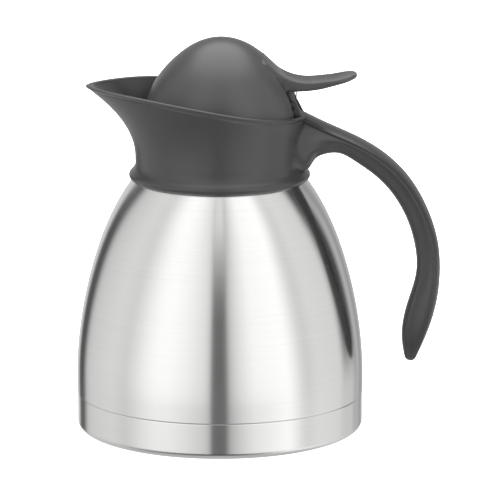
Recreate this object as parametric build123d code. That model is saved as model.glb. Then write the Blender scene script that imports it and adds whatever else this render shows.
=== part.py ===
import math
import os

from build123d import *

# Insulated jug with a sprung flip lid. Millimetres. Z is the jug's axis, z = 0 the surface it stands on,
# +X the handle's side and -X the spout's. Each function below makes one separate piece.

cut_over = 1.0  # how far a cut runs past the surface it opens

# Outer shell: a steel bell that ends in a plain neck under the collar.
shell_wall = 0.6
body_radius = 68.6
band_height = 17.2  # the base's lower band, up to the seam
bell_rise = 103.3  # from the seam up to the collar
bell_straight = 7.0  # upright stretch above the seam
bell_mid_radius = 61.9
bell_mid_rise = 57.4
shoulder_step = 5.3  # from the neck out to where the bell goes under the collar
shoulder_lean = (-0.6, 0.8)
neck_radius = 36.0
neck_blend = 10.5  # height over which the shoulder turns upright
neck_length = 19.5  # from the collar's lower edge to the neck's top

# Inner flask, which hangs in the shell from the mouth's lip.
flask_wall = 0.6
flask_floor = 12.0
flask_bevel = 16.0
vacuum_gap = 7.6
neck_gap = 1.8  # between the two walls at the neck
mouth_length = 14.0
lip_thickness = 0.6

# Base: a pressed cup that laps inside the shell, with a recess that hides the vacuum's seal.
base_wall = 0.7
band_step = 0.25
base_corner = 3.0
lap_height = 4.0
lap_clearance = 0.05
recess_radius = 52.0
recess_depth = 5.0
port_radius = 2.0
seal_cap_radius = 4.5
seal_cap_height = 1.6
cover_radius = 44.0
cover_thickness = 0.8
cover_gap = 0.2
getter_radius = 6.0
getter_height = 3.0
getter_offset = 18.0

# Collar: a moulding with a spout. Its foot is a bead over the shell's shoulder, given as height above the
# collar's lower edge and reach past the waist. Above the waist, radius and spout grow with the square of the
# height.
collar_foot = [(-0.2, 1.3), (1.0, 2.7), (2.4, 3.0), (4.2, 2.1), (6.5, 0.7), (9.0, 0.05)]
waist_height = 11.0
spout_rise = 34.2  # from the waist to the spout's tip
spout_throw = 23.6  # how far the tip stands out past the waist
rim_flare = 2.4
flare_levels = 6
flare_overrun = 3.0  # the flare is drawn this far past the rim, then cut along it
funnel_levels = 4
collar_wall = 2.2
spout_round = 12.0  # degrees; larger is blunter at the tip
spout_spread = 27.0  # degrees; larger spreads the spout round the collar
section_points = 20
collar_clearance = 0.2  # over the shell's shoulder
bore_clearance = 1.9  # round the neck
gasket_thickness = 0.8
shelf_thickness = 2.6
shelf_setback = 0.5  # from the flask's mouth out to the shelf's edge
# The rim seen from the side: distance from the axis and height above the shelf's top.
rim_line = [(-80.0, 21.8), (-63.6, 21.2), (-40.0, 19.8), (0.0, 14.2), (41.0, 7.4), (60.0, 5.4)]
rear_reach = 0.9  # from the waist out to the rim's rear corner

# Lock ring, a flat split ring in a rolled groove of the neck and a groove of the collar.
lock_height = 13.5  # above the collar's lower edge
lock_width = 2.2
lock_in_neck = 0.7
lock_in_collar = 0.9
lock_clearance = 0.1
lock_gap = 50.0  # degrees, open towards the handle
groove_slope = 1.2  # height over which the neck's groove reaches its depth

# Handle: its outer and inner edge in side view, from inside the collar to the tip, measured from the rim's
# rear corner, and half its width at the outer strip, at the flank and at the inner edge.
handle_outer = [
    (-11.0, 5.5), (-4.2, 2.6), (7.5, -3.1), (25.6, -10.8), (38.2, -18.6), (49.5, -30.1), (58.1, -45.6),
    (63.1, -61.2), (64.3, -76.8), (61.9, -95.0), (56.6, -110.6), (52.3, -120.4),
]
handle_inner = [
    (-11.0, -28.8), (-3.4, -28.2), (1.4, -25.4), (4.6, -20.9), (9.0, -18.9), (15.1, -18.5), (23.0, -22.4),
    (33.7, -30.2), (45.8, -45.6), (51.6, -61.2), (52.8, -76.8), (48.7, -92.0), (46.2, -108.2), (48.0, -120.2),
]
handle_sections = 17
handle_ease = 1.5  # above 1 draws the sections together at the collar
strip_half = 10.2
flank_half = 9.6
edge_half = 6.6
handle_taper = 0.09  # share of the width lost from the collar to the tip
root_flare = 15.1  # added to the flank where the handle leaves the collar
root_length = 10.8
root_power = 1.75
edge_flare = 1.2  # the inner edge's flare, as a share of the flank's
tip_start = 0.8  # share of the length where the tip begins to narrow
tip_narrow = 0.9
flank_level = 0.55  # where the flank is widest, as a share of the depth
handle_crown = 1.8
cover_edge = 1.3
cover_draft = 0.3
cover_overhang = 0.5
groove_depth = 1.4
groove_end = 0.45  # share of the length where the groove under the strip runs out
inner_round = 1.8
cover_joint = 0.1
channel_wall = 2.4
channel_floor_wall = 1.4
channel_from = 6  # sections between which the handle is hollow
channel_to = 14

# Lid. It sits a little behind the jug's axis.
lid_offset = 0.8
seal_gap = 0.3
seal_thickness = 1.1
seal_setback = 1.3
seal_clearance = 0.1
flange_thickness = 2.0
flange_setback = 0.4
dome_height = 41.1
dome_outline = [(26.2, -2.4), (15.2, -9.9), (4.1, -24.2)]  # distance in from the edge, and drop
lid_clearance = 0.7
dome_lean = (0.05, -1)  # the dome's direction at its lower edge
dome_wall = 2.0
skirt_clearance = 0.3
skirt_height = 3.5
skirt_wall = 1.8
plug_clearance = 3.0
plug_taper = 1.0
plug_depth = 11.4
plug_wall = 1.8
foam_clearance = 0.3

# Hinge, at the rear of the lid.
pivot_inset = 3.7  # from the dome's rear edge to the hinge's axis
pivot_rise = 12.2  # above the shelf's top
pin_radius = 1.25
pin_clearance = 0.05
pin_stand_out = 0.5
pin_chamfer = 0.3
knuckle_radius = 2.8
barrel_radius = 2.5
ear_inside = 7.0
ear_thickness = 3.0
barrel_inside = 3.3
side_clearance = 0.3
ear_drop = 8.0
ear_foot = 3.3
ear_slope_lift = 0.3
pocket_half_width = 13.3
pocket_depth = 7.3
pocket_wall = 1.6

# Thumb lever: its side outline, measured from the pivot.
lever_top = [
    (-14.0, 23.6), (-10.0, 19.6), (-4.8, 15.9), (1.9, 12.8), (8.0, 11.8), (14.7, 12.2), (23.2, 13.7),
    (29.2, 14.9),
]
lever_tip = (30.9, 13.9)
lever_bottom = [(29.0, 13.0), (23.2, 11.2), (14.7, 8.9), (8.5, 7.9), (1.6, 7.5)]
lever_half_width = 10.5
lever_corner = 9.0
lever_wall = 1.8
lever_plate = 2.0
lever_block = 1.6
lever_hollow_end = 27.0
lever_seat = 0.05
lever_root = 15.0
web_front = 5.0
web_back = 0.4
screw_radius = 1.5
screw_length = 8.0
screw_head_radius = 2.8
screw_head = 1.6
screw_spread = 5.4
screw_rise = 9.4

# Return spring, wound round the pin.
wire_radius = 0.3
coil_radius = 2.0
coil_length = 3.6
coil_turns = 1.897
rest_leg = 6.6
lever_leg = 9.0
rest_angle = 37.0
leg_hole_radius = 0.45
leg_hole_depth = 1.8

# Radii and levels that follow from the sizes above.
shoulder_radius = neck_radius + shoulder_step
mouth_radius = neck_radius - shell_wall - neck_gap - flask_wall
bore_radius = neck_radius + bore_clearance
waist_radius = bore_radius + collar_wall
shelf_radius = mouth_radius + shelf_setback
dome_radius = bore_radius - lid_clearance
flange_radius = dome_radius - flange_setback
seal_radius = flange_radius - seal_setback
plug_radius = shelf_radius - plug_clearance
pivot_x = lid_offset + dome_radius - pivot_inset
seam = band_height
shoulder = seam + bell_rise
neck_start = shoulder + neck_blend
neck_top = shoulder + neck_length
lip_top = neck_top + lip_thickness
shelf_bottom = lip_top + gasket_thickness
shelf_top = shelf_bottom + shelf_thickness
flange_bottom = shelf_top + seal_gap + seal_thickness
flange_top = flange_bottom + flange_thickness
dome_top = flange_top + dome_height
pivot_z = shelf_top + pivot_rise
lock_z = shoulder + lock_height
rim_rear = (waist_radius + rear_reach, shelf_top + rim_line[4][1])
waist = shoulder + waist_height
flare_top = waist + spout_rise + flare_overrun
coil_pitch = coil_length / coil_turns


def turned(edges):
    # A solid of revolution about the jug's axis, from edges given as (radius, height).
    return revolve(Plane.XZ * make_face(edges), Axis.Z)


def ring(inner, outer, bottom, top):
    return turned(Polyline((inner, bottom), (outer, bottom), (outer, top), (inner, top), close=True))


def disc(radius, bottom, top):
    return Pos(0, 0, bottom) * extrude(Circle(radius), top - bottom)


def side_plate(edges, inside, outside):
    # A plate from a side outline of (x, z) edges, between two distances from the middle plane.
    return extrude(Plane.XZ.offset(inside) * make_face(edges), outside - inside)


def both_sides(solid):
    return [solid, mirror(solid, Plane.XZ)]


def cross_cylinder(x, z, radius, half_length):
    return Pos(x, 0, z) * Rot(90, 0, 0) * Cylinder(radius, 2 * half_length)


# Steel body


def bell_lines(inset):
    # The shell's outline from the seam to the neck's top, drawn in by the inset.
    foot = (body_radius - inset, seam)
    start = (body_radius - inset, seam + bell_straight)
    middle = (bell_mid_radius - inset, seam + bell_mid_rise)
    collar = (shoulder_radius - inset, shoulder)
    neck = neck_radius - inset
    groove = neck - lock_in_neck - lock_clearance
    half_floor = lock_width / 2 + lock_clearance
    half_mouth = half_floor + groove_slope
    return [
        Line(foot, start),
        Spline(start, middle, collar, tangents=[(0, 1), shoulder_lean]),
        Spline(collar, (neck, neck_start), tangents=[shoulder_lean, (0, 1)]),
        Polyline(
            (neck, neck_start),
            (neck, lock_z - half_mouth),
            (groove, lock_z - half_floor),
            (groove, lock_z + half_floor),
            (neck, lock_z + half_mouth),
            (neck, neck_top),
        ),
    ]


def sheet(outside, inside):
    # A closed outline between two open ones that run the same way.
    ends = [Line(inside[0] @ 0, outside[0] @ 0), Line(outside[-1] @ 1, inside[-1] @ 1)]
    return outside + inside + ends


def outer_shell():
    return turned(sheet(bell_lines(0), bell_lines(shell_wall)))


def flask_lines(inset):
    side = body_radius - shell_wall - vacuum_gap - inset
    middle = bell_mid_radius - shell_wall - vacuum_gap - inset
    neck = mouth_radius + flask_wall - inset
    floor = flask_floor + inset
    return [
        Polyline((0, floor), (side - flask_bevel, floor), (side, floor + flask_bevel)),
        Spline(
            (side, floor + flask_bevel),
            (middle, seam + bell_mid_rise),
            (neck, neck_top - mouth_length),
            tangents=[(0, 1), (0, 1)],
        ),
        Line((neck, neck_top - mouth_length), (neck, neck_top)),
    ]


def inner_flask():
    walls = turned(sheet(flask_lines(0), flask_lines(flask_wall)))
    lip = ring(mouth_radius, neck_radius, neck_top, lip_top)
    return walls + lip


def base_cup():
    band_radius = body_radius - band_step
    lap_radius = body_radius - shell_wall - lap_clearance
    band = fillet(disc(band_radius, 0, seam).edges().sort_by(Axis.Z)[0], base_corner)
    inside = disc(band_radius - base_wall, base_wall, seam)
    inside = chamfer(inside.edges().sort_by(Axis.Z)[0], base_corner - base_wall)
    recess_top = recess_radius - recess_depth
    recess = Pos(0, 0, recess_depth / 2) * Cone(recess_radius, recess_top, recess_depth)
    boss_depth = recess_depth + base_wall
    boss = Pos(0, 0, boss_depth / 2) * Cone(recess_radius + base_wall, recess_top, boss_depth)
    lap = ring(lap_radius - base_wall, lap_radius, seam - base_wall, seam + lap_height)
    shoulder_ring = ring(lap_radius - base_wall, band_radius, seam - base_wall, seam)
    port = disc(port_radius, 0, seam)
    return band - (inside - boss) - recess + shoulder_ring + lap - port


def tip_off_seal():
    head = disc(seal_cap_radius, recess_depth - seal_cap_height, recess_depth)
    plug = disc(port_radius, recess_depth, recess_depth + base_wall)
    return head + plug


def base_cover():
    top = recess_depth - seal_cap_height - cover_gap
    return disc(cover_radius, top - cover_thickness, top)


def getter_capsule():
    return Pos(getter_offset, 0, 0) * disc(getter_radius, flask_floor - getter_height, flask_floor)


# Collar and handle


def collar_section(height, radius, reach):
    # A level outline: round, and drawn out into the spout by an amount that falls off with the angle from -X.
    points = []
    for step in range(section_points):
        angle = 360 * step / section_points
        off_spout = abs(angle - 180)
        lead = math.exp((spout_round - math.hypot(off_spout, spout_round)) / spout_spread)
        distance = radius + (reach - radius) * lead
        turn = math.radians(angle)
        points.append((distance * math.cos(turn), distance * math.sin(turn)))
    return Pos(0, 0, height) * make_face(Spline(*points, periodic=True))


def flare_section(height, wall):
    # A section above the waist, drawn in by the wall, which keeps its thickness where the spout leans out.
    share = (height - waist) / spout_rise
    lean = 2 * spout_throw / spout_rise * share
    radius = waist_radius + rim_flare * share**2 - wall
    reach = waist_radius + spout_throw * share**2 - wall * math.hypot(1, lean)
    return collar_section(height, radius, reach)


def spread(low, high, count):
    return [low + (high - low) * step / (count - 1) for step in range(count)]


def collar_outside():
    bead = [(shoulder + rise, waist_radius + reach) for rise, reach in collar_foot]
    foot = [collar_section(height, radius, radius) for height, radius in bead]
    flare = [flare_section(height, 0) for height in spread(waist, flare_top, flare_levels)]
    return loft(foot + flare)


def collar_funnel():
    # The space inside the collar above its shelf.
    levels = spread(shelf_top, flare_top, funnel_levels)
    return loft([flare_section(height, collar_wall) for height in levels])


def above_rim():
    line = [(x, shelf_top + rise) for x, rise in rim_line]
    far = 2 * shelf_top
    reach = -rim_line[0][0]
    edges = [Spline(*line), Polyline(line[-1], (line[-1][0], far), (line[0][0], far), line[0])]
    return side_plate(edges, -reach, reach)


def shell_envelope():
    # The room the shell takes up inside the collar, with clearance.
    lines = bell_lines(-collar_clearance)[1:3]
    start = lines[0] @ 0
    end = lines[1] @ 1
    edges = lines + [Polyline(end, (0, end.Y), (0, start.Y), start)]
    return turned(edges)


def lock_room(clearance):
    half = lock_width / 2 + clearance
    inner = neck_radius - lock_in_neck - clearance
    outer = bore_radius + lock_in_collar + clearance
    return ring(inner, outer, lock_z - half, lock_z + half)


def hinge_ears():
    # Each ear is a round knuckle with a slope that runs back and down to the rim's rear corner.
    slope_end = (rim_rear[0] - pivot_x, rim_rear[1] - pivot_z + ear_slope_lift)
    foot = Polyline(
        slope_end,
        (slope_end[0], -ear_drop),
        (ear_foot, -ear_drop),
        close=True,
    )
    profile = make_hull(Circle(knuckle_radius).edges() + foot.edges())
    ear = extrude(Plane.XZ.offset(ear_inside) * profile, ear_thickness)
    return both_sides(Pos(pivot_x, 0, pivot_z) * ear)


def handle_section(step):
    # The section at a step along the handle: its plane, with the y axis from the inner edge to the outer one,
    # its depth, the half widths of the strip, the flank and the inner edge, and the groove's depth.
    share = (step / (handle_sections - 1)) ** handle_ease
    corner = Vector(rim_rear[0], rim_rear[1])
    outer_rail = Spline(*handle_outer)
    outer = corner + outer_rail @ share
    inner = corner + Spline(*handle_inner) @ share
    outside = Vector(outer.X, 0, outer.Y)
    inside = Vector(inner.X, 0, inner.Y)
    across = (outside - inside).normalized()
    plane = Plane(origin=inside, x_dir=(0, 1, 0), z_dir=Vector(0, 1, 0).cross(across))
    flare = root_flare * math.exp(-((share * outer_rail.length / root_length) ** root_power))
    past = max(0, share - tip_start) / (1 - tip_start) * tip_narrow
    scale = (1 - handle_taper * share) * math.sqrt(1 - past**2)
    widths = (strip_half * scale, (flank_half * scale) + flare, (edge_half * scale) + edge_flare * flare)
    groove = groove_depth * max(0, 1 - share / groove_end)
    return plane, (outside - inside).length, widths, groove


def crease_level(depth, strip):
    return depth - handle_crown * strip / strip_half


def cover_section(step):
    plane, depth, (strip, _, _), _ = handle_section(step)
    share = strip / strip_half
    crease = crease_level(depth, strip)
    low = crease - cover_edge * share
    crown = ThreePointArc((-strip, crease), (0, depth), (strip, crease))
    rest = Polyline((strip, crease), (strip - cover_draft, low), (cover_draft - strip, low), (-strip, crease))
    return plane * make_face([crown, rest])


def body_section(step):
    plane, depth, (strip, flank, edge), groove = handle_section(step)
    share = strip / strip_half
    top = crease_level(depth, strip) - (cover_edge + cover_joint) * share
    side = strip - cover_overhang * share - groove
    middle = flank_level * depth
    low = inner_round * share
    left = Spline((-side, top), (-flank, middle), (-edge, low))
    right = Spline((edge, low), (flank, middle), (side, top))
    arc = ThreePointArc((-edge, low), (0, 0), (edge, low))
    return plane * make_face([left, arc, right, Line((side, top), (-side, top))])


def handle_body():
    return loft([body_section(step) for step in range(handle_sections)])


def channel_section(step):
    plane, depth, (strip, _, edge), _ = handle_section(step)
    top = crease_level(depth, strip) + handle_crown
    side = strip - cover_overhang - channel_wall
    floor = edge - channel_floor_wall
    outline = Polyline((-side, top), (-floor, channel_wall), (floor, channel_wall), (side, top), close=True)
    return plane * make_face(outline)


def handle_channel():
    # The hollow under the cover, open towards it.
    return loft([channel_section(step) for step in range(channel_from, channel_to + 1)])


def spout_collar():
    outside = collar_outside() - above_rim() + handle_body() + hinge_ears()
    mouth = disc(shelf_radius, shelf_bottom - cut_over, shelf_top + cut_over)
    bore = disc(bore_radius, shoulder - waist_height, shelf_bottom)
    inside = collar_funnel() - Compound(hinge_ears())
    holes = cross_cylinder(pivot_x, pivot_z, pin_radius, ear_inside + ear_thickness + cut_over)
    collar = outside - inside - mouth - bore - shell_envelope() - lock_room(lock_clearance)
    return collar - holes - handle_channel()


def handle_cover(collar):
    cover = loft([cover_section(step) for step in range(handle_sections)])
    return cover - collar_outside() - collar


def mouth_gasket():
    return ring(shelf_radius, neck_radius, lip_top, shelf_bottom)


def collar_lock_ring():
    # The gap is a wedge from the axis out past the ring.
    reach = 2 * bore_radius
    side = reach * math.tan(math.radians(lock_gap / 2))
    wedge = Polyline((0, 0), (reach, -side), (reach, side), close=True)
    return lock_room(0) - extrude(make_face(wedge), neck_top)


# Lid


def dome_solid(inset):
    across = (dome_radius - inset) / dome_radius
    up = (dome_height - inset) / dome_height
    points = [
        ((dome_radius - inward) * across, flange_top + (dome_height + drop) * up)
        for inward, drop in dome_outline
    ]
    top = (0, flange_top + dome_height * up)
    edge = (dome_radius - inset, flange_top)
    curve = Spline(top, *points, edge, tangents=[(1, 0), dome_lean])
    axis = Polyline(edge, (0, flange_top), top)
    return Pos(lid_offset, 0, 0) * Rot(0, 0, 180) * turned([curve, axis])


def pocket(margin):
    # The room for the hinge at the dome's rear, open to the back.
    front = pivot_x - pocket_depth - margin
    half = pocket_half_width + margin
    length = dome_radius
    low = flange_top - cut_over
    high = dome_top
    return Pos(front + length / 2, 0, (low + high) / 2) * Box(length, 2 * half, high - low)


def lid_dome():
    dome = dome_solid(0) - (dome_solid(dome_wall) - pocket(pocket_wall)) - pocket(0)
    for screw_hole in screw_places(cross_screw(screw_radius, screw_length)):
        dome -= screw_hole
    return dome


def cross_screw(radius, length):
    return Rot(0, 90, 0) * Pos(0, 0, length / 2) * Cylinder(radius, length)


def screw_places(solid):
    seat = pivot_x - pocket_depth - pocket_wall
    return [Pos(seat, side * screw_spread, pivot_z + screw_rise) * solid for side in (-1, 1)]


def lever_screws():
    shank = cross_screw(screw_radius, screw_length)
    head = Pos(-screw_head, 0, 0) * cross_screw(screw_head_radius, screw_head)
    return Compound(children=screw_places(shank + head))


def lever_profile():
    top = [(pivot_x + x, pivot_z + z) for x, z in lever_top]
    bottom = [(pivot_x + x, pivot_z + z) for x, z in lever_bottom]
    tip = (pivot_x + lever_tip[0], pivot_z + lever_tip[1])
    front = pivot_x - pocket_depth + lever_seat
    return [
        Spline(*top),
        ThreePointArc(top[-1], tip, bottom[0]),
        Spline(*bottom),
        Polyline(bottom[-1], (front, bottom[-1][1]), (front, pivot_z + lever_root), top[0]),
    ]


def lever_plan():
    # The lever seen from above, with its free corners rounded.
    length = 2 * (lever_tip[0] - lever_top[0][0])
    plan = RectangleRounded(length, 2 * lever_half_width, lever_corner)
    return extrude(Pos(pivot_x + lever_tip[0] - length / 2, 0) * plan, dome_top)


def lever_hollow():
    inside = lever_half_width - lever_wall
    lowered = Pos(0, 0, -lever_plate) * side_plate(lever_profile(), -inside, inside)
    start = pivot_x + lever_block
    end = pivot_x + lever_hollow_end
    room = Pos((start + end) / 2, 0, pivot_z) * Box(end - start, 2 * inside, 2 * lever_root)
    return lowered & room


def thumb_lever():
    lever = side_plate(lever_profile(), -lever_half_width, lever_half_width) & lever_plan()
    lever = lever - lever_hollow() - (dome_solid(-lever_seat) - pocket(0))
    top = lever_bottom[-1][1] + cut_over
    neck = Polyline((-web_front, top), (web_back, top), (0, 0), close=True)
    web = extrude(
        Plane.XZ.offset(barrel_inside) * make_hull(Circle(barrel_radius).edges() + neck.edges()),
        ear_inside - side_clearance - barrel_inside,
    )
    lever = lever + both_sides(Pos(pivot_x, 0, pivot_z) * web)
    lever -= cross_cylinder(pivot_x, pivot_z, pin_radius + pin_clearance, ear_inside)
    for screw_hole in screw_places(cross_screw(screw_radius, screw_length)):
        lever -= screw_hole
    seat = pivot_z + lever_bottom[-1][1]
    leg_hole = disc(leg_hole_radius, seat - cut_over, seat + leg_hole_depth)
    leg_drift = lever_leg * coil_pitch / (2 * math.pi * coil_radius)
    return lever - Pos(pivot_x + coil_radius, -coil_length / 2 - leg_drift, 0) * leg_hole


def lid_base():
    skirt = dome_radius - dome_wall - skirt_clearance
    flange = disc(flange_radius, flange_bottom, flange_top)
    upstand = ring(skirt - skirt_wall, skirt, flange_top, flange_top + skirt_height)
    room = Pos(-lid_offset, 0, 0) * pocket(pocket_wall + skirt_clearance)
    return Pos(lid_offset, 0, 0) * (flange + (upstand - room))


def plug_lines(inset):
    low = flange_bottom - plug_depth + inset
    return [(0, low), (plug_radius - plug_taper - inset, low), (plug_radius - inset, flange_bottom)]


def plug_cup():
    outside = plug_lines(0)
    inside = plug_lines(plug_wall)
    return Pos(lid_offset, 0, 0) * turned(Polyline(*outside, *reversed(inside), close=True))


def lid_insulation():
    radius = plug_radius - plug_taper - plug_wall - foam_clearance
    return Pos(lid_offset, 0, 0) * disc(radius, flange_bottom - plug_depth + plug_wall, flange_bottom)


def lid_seal():
    bottom = flange_bottom - seal_thickness
    return Pos(lid_offset, 0, 0) * ring(plug_radius + seal_clearance, seal_radius, bottom, flange_bottom)


# Hinge


def hinge_pin():
    half = ear_inside + ear_thickness + pin_stand_out
    pin = cross_cylinder(pivot_x, pivot_z, pin_radius, half)
    return chamfer(pin.edges().filter_by(GeomType.CIRCLE), pin_chamfer)


def return_spring():
    # A coil round the pin, with one leg down to the collar's rear edge and one up into the lever.
    path = Helix(coil_pitch, coil_length, coil_radius)
    wire = RegularPolygon(wire_radius, 6)
    coil = sweep(Plane(path @ 0, z_dir=path % 0) * wire, path, is_frenet=True)
    rest = extrude(Plane(path @ 0, z_dir=(path % 0) * -1) * wire, rest_leg)
    lift = extrude(Plane(path @ 1, z_dir=path % 1) * wire, lever_leg)
    spring = coil + rest + lift
    upright = Rot(0, 0, rest_angle) * Pos(0, 0, -coil_length / 2) * spring
    return Pos(pivot_x, 0, pivot_z) * Rot(90, 0, 0) * upright


collar = spout_collar()
pieces = {
    "outer_shell": outer_shell(),
    "inner_flask": inner_flask(),
    "base_cup": base_cup(),
    "getter_capsule": getter_capsule(),
    "tip_off_seal": tip_off_seal(),
    "base_cover": base_cover(),
    "mouth_gasket": mouth_gasket(),
    "collar_lock_ring": collar_lock_ring(),
    "spout_collar": collar,
    "handle_cover": handle_cover(collar),
    "hinge_pin": hinge_pin(),
    "return_spring": return_spring(),
    "lid_dome": lid_dome(),
    "thumb_lever": thumb_lever(),
    "lever_screws": lever_screws(),
    "lid_base": lid_base(),
    "plug_cup": plug_cup(),
    "lid_insulation": lid_insulation(),
    "lid_seal": lid_seal(),
}

os.makedirs("parts", exist_ok=True)
for name, piece in pieces.items():
    export_step(piece, f"parts/{name}.step")
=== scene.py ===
import math

import bmesh
import bpy
import numpy as np
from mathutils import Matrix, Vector


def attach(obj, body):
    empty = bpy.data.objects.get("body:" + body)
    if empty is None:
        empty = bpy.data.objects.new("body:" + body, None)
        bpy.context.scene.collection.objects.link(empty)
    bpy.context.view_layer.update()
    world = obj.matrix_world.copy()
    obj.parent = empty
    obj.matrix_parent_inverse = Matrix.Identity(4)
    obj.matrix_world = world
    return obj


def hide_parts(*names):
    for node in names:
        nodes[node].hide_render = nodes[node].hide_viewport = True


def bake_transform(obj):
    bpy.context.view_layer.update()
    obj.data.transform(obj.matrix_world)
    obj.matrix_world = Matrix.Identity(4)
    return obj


# Insulated steel jug with a dark plastic collar, handle and sprung flip lid.
# Sizes are in millimetres and turn to metres when a mesh is made. +X is the handle's side, -X the spout's.

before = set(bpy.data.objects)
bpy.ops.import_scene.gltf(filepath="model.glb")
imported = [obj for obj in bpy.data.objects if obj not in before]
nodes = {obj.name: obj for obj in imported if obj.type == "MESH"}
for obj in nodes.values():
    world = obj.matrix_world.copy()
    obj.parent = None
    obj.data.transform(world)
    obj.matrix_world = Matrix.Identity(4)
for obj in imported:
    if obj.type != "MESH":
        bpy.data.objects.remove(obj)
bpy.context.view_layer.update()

mm = 0.001
weldWithin = 1e-6  # metres; points nearer than this become one
nearAxis = 0.01  # mm; how close a turned outline comes to its axis


# Helpers for meshes


def smoothCurve(points, count, startTangent=None, endTangent=None):
    # A cubic curve through the points, with points spaced evenly along its length. It solves for the slope at
    # each point so that the curvature has no jump, then fills each stretch with the four Hermite weights.
    pts = np.array(points, float)
    steps = np.diff(pts, axis=0)
    gaps = np.linalg.norm(steps, axis=1)
    size = len(pts)
    matrix, right = np.zeros((size, size)), np.zeros_like(pts)
    inner = np.arange(1, size - 1)
    matrix[inner, inner - 1] = 1 / gaps[:-1]
    matrix[inner, inner] = 2 / gaps[:-1] + 2 / gaps[1:]
    matrix[inner, inner + 1] = 1 / gaps[1:]
    right[inner] = 3 * (steps[:-1] / gaps[:-1, None] ** 2 + steps[1:] / gaps[1:, None] ** 2)
    ends = ((0, 1, gaps[0], startTangent, steps[0]), (-1, -2, gaps[-1], endTangent, steps[-1]))
    for row, near, gap, tangent, step in ends:
        free = tangent is None
        matrix[row, row] = 2 if free else 1
        matrix[row, near] = 1 if free else 0
        right[row] = 3 * step / gap if free else np.array(tangent, float) / np.linalg.norm(tangent)
    slopes = np.linalg.solve(matrix, right)
    perStretch = 40
    share = np.linspace(0, 1, perStretch, endpoint=False)[None, :, None]
    start, end = pts[:-1, None], pts[1:, None]
    startSlope, endSlope = slopes[:-1, None] * gaps[:, None, None], slopes[1:, None] * gaps[:, None, None]
    curve = (
        (2 * share**3 - 3 * share**2 + 1) * start
        + (share**3 - 2 * share**2 + share) * startSlope
        + (3 * share**2 - 2 * share**3) * end
        + (share**3 - share**2) * endSlope
    )
    curve = np.vstack([curve.reshape(-1, pts.shape[1]), pts[-1]])
    length = np.concatenate([[0], np.cumsum(np.linalg.norm(np.diff(curve, axis=0), axis=1))])
    even = np.linspace(0, length[-1], count)
    return np.stack([np.interp(even, length, curve[:, axis]) for axis in range(pts.shape[1])], axis=1)


def gridFaces(rows, columns, wrapColumns, wrapRows=False):
    # Four-cornered faces between neighbouring rows and columns of points, numbered row by row.
    row = np.arange(rows if wrapRows else rows - 1)
    column = np.arange(columns if wrapColumns else columns - 1)
    r, c = (a.ravel() for a in np.meshgrid(row, column, indexing="ij"))
    nextRow, nextColumn = (r + 1) % rows, (c + 1) % columns
    corners = ((r, c), (r, nextColumn), (nextRow, nextColumn), (nextRow, c))
    return np.stack([i * columns + j for i, j in corners], axis=1)


def tubeFaces(rings, around):
    # The side of a tube made of rings of points, closed by one flat face at each end.
    last = (rings - 1) * around
    return gridFaces(rings, around, True).tolist() + [list(range(around)), list(range(last, last + around))]


def makePiece(name, parts, body, replaced=(), sharpAngle=40):
    # One mesh from (points, faces) pairs. It rides on a body when one is given.
    mesh = bpy.data.meshes.new(name)
    vertices, faces, offset = [], [], 0
    for points, quads in parts:
        points = np.asarray(points, float).reshape(-1, 3)
        vertices.append(points * mm)
        quads = quads.tolist() if hasattr(quads, "tolist") else quads
        faces += [[index + offset for index in face] for face in quads]
        offset += len(points)
    mesh.from_pydata(np.vstack(vertices).tolist(), [], faces)
    mesh.validate()
    piece = bpy.data.objects.new(name, mesh)
    bpy.context.scene.collection.objects.link(piece)
    finishMesh(piece, sharpAngle)
    if body:
        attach(piece, body)
    if replaced:
        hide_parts(*replaced)
    print("made", name, len(mesh.polygons), "faces")
    return piece


def finishMesh(piece, sharpAngle):
    # Welds doubled points, turns the faces outwards, and shades smoothly except where faces meet at more than
    # the sharp angle.
    mesh = piece.data
    mesh.update()
    work = bmesh.new()
    work.from_mesh(mesh)
    bmesh.ops.remove_doubles(work, verts=work.verts, dist=weldWithin)
    bmesh.ops.recalc_face_normals(work, faces=work.faces)
    work.to_mesh(mesh)
    work.free()
    mesh.polygons.foreach_set("use_smooth", np.ones(len(mesh.polygons), bool))
    mesh.set_sharp_from_angle(angle=math.radians(sharpAngle))


def revolve(profile, segments, centre=0.0):
    # Each (radius, height) point of a closed outline becomes a ring of points round the axis.
    profile = np.asarray(profile, float)
    angle = np.linspace(0, 2 * math.pi, segments, endpoint=False)
    radius, height = profile[:, :1], profile[:, 1:]
    points = np.stack([radius * np.cos(angle) + centre, radius * np.sin(angle), height + 0 * angle], axis=2)
    return points, gridFaces(len(profile), segments, True, True)


def arc(centre, radius, startAngle, endAngle, count):
    # Points on a circle from one angle to another, in degrees.
    angle = np.radians(np.linspace(startAngle, endAngle, count))
    return np.stack([centre[0] + radius * np.cos(angle), centre[1] + radius * np.sin(angle)], axis=1)


def carry(nodeName, material):
    # Gives a solid that is shown as it is one material, with its shape and place left alone.
    nodes[nodeName].data.materials.clear()
    nodes[nodeName].data.materials.append(material)


# Materials


def linear(code):
    # A hex colour as written for the screen, turned to the linear values that the shaders want.
    value = np.array([int(code[i : i + 2], 16) / 255 for i in (1, 3, 5)])
    value = np.where(value <= 0.04045, value / 12.92, ((value + 0.055) / 1.055) ** 2.4)
    return (*value.tolist(), 1.0)


def addNode(tree, kind, links=(), values=(), **settings):
    # Adds a node with its own settings, links of (socket, source node, source socket) and socket values.
    node = tree.nodes.new("ShaderNode" + kind)
    for key, value in settings.items():
        setattr(node, key, value)
    for socket, value in dict(values).items():
        node.inputs[socket].default_value = value
    for socket, source, output in links:
        tree.links.new(source.outputs[output], node.inputs[socket])
    return node


def newMaterial(name):
    material = bpy.data.materials.new(name)
    material.use_nodes = True
    material.node_tree.nodes.clear()
    return material, material.node_tree


def perMetre(size):
    # How often a pattern of this size in millimetres repeats in a metre.
    return 1 / (size * mm)


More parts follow.
